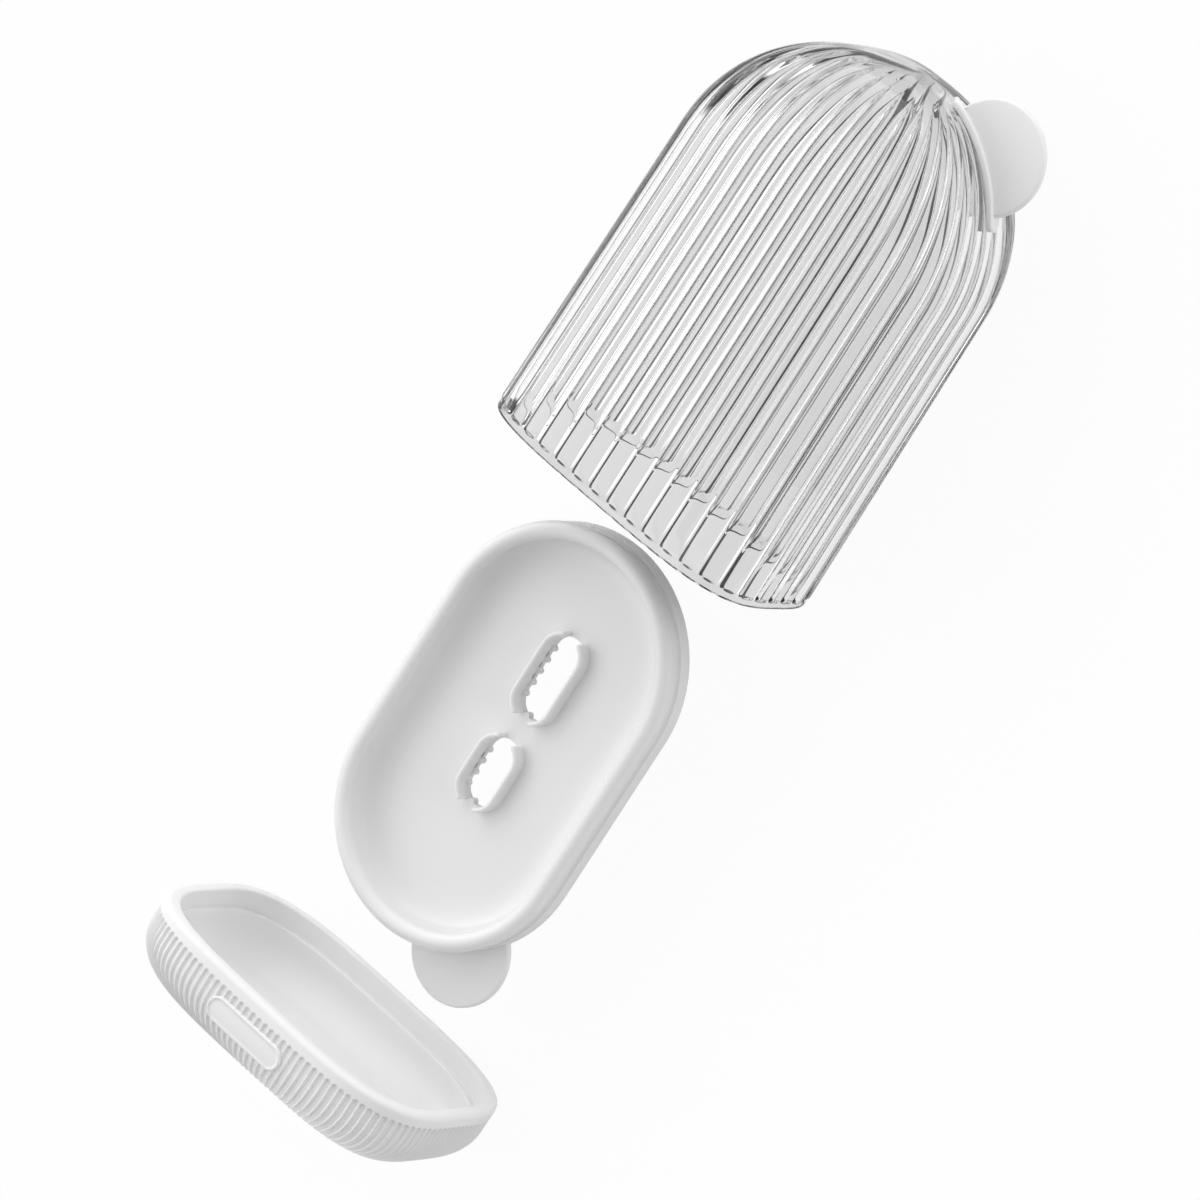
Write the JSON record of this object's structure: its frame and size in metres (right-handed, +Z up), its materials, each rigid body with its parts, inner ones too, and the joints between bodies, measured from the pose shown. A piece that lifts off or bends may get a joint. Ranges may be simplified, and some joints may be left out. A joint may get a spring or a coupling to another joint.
{
  "type": "travel soap box",
  "caption": "Travel soap box taken apart: clear fluted cover with a domed end and a finger tab, dished drain tray with kerbed slots and a tab, and a ribbed base that the cover plugs into",
  "frame": {"origin": "bottom centre of the box round the parts as laid out", "axes": "X along the box from the base to the cover's domed end, Y across the width of the box, Z up through its thickness"},
  "size_m": [0.3234, 0.0998, 0.0691],
  "materials": {
    "clear_plastic": "clear, polished, slightly rounded flutes",
    "gloss_plastic": "white, smooth, glossy",
    "satin_plastic": "white, fine satin"
  },
  "bodies": {
    "cover": {"cover": "clear_plastic", "cover_tab": "satin_plastic"},
    "tray": {"tray": "gloss_plastic"},
    "base": {"base": "satin_plastic"}
  },
  "joints": [
    {"name": "tray_slide", "type": "slide", "parent": "cover", "child": "tray", "axis": [1, 0, 0], "range_m": [0, 0.1358]},
    {"name": "base_slide", "type": "slide", "parent": "tray", "child": "base", "axis": [1, 0, 0], "range_m": [0, 0.03]}
  ]
}
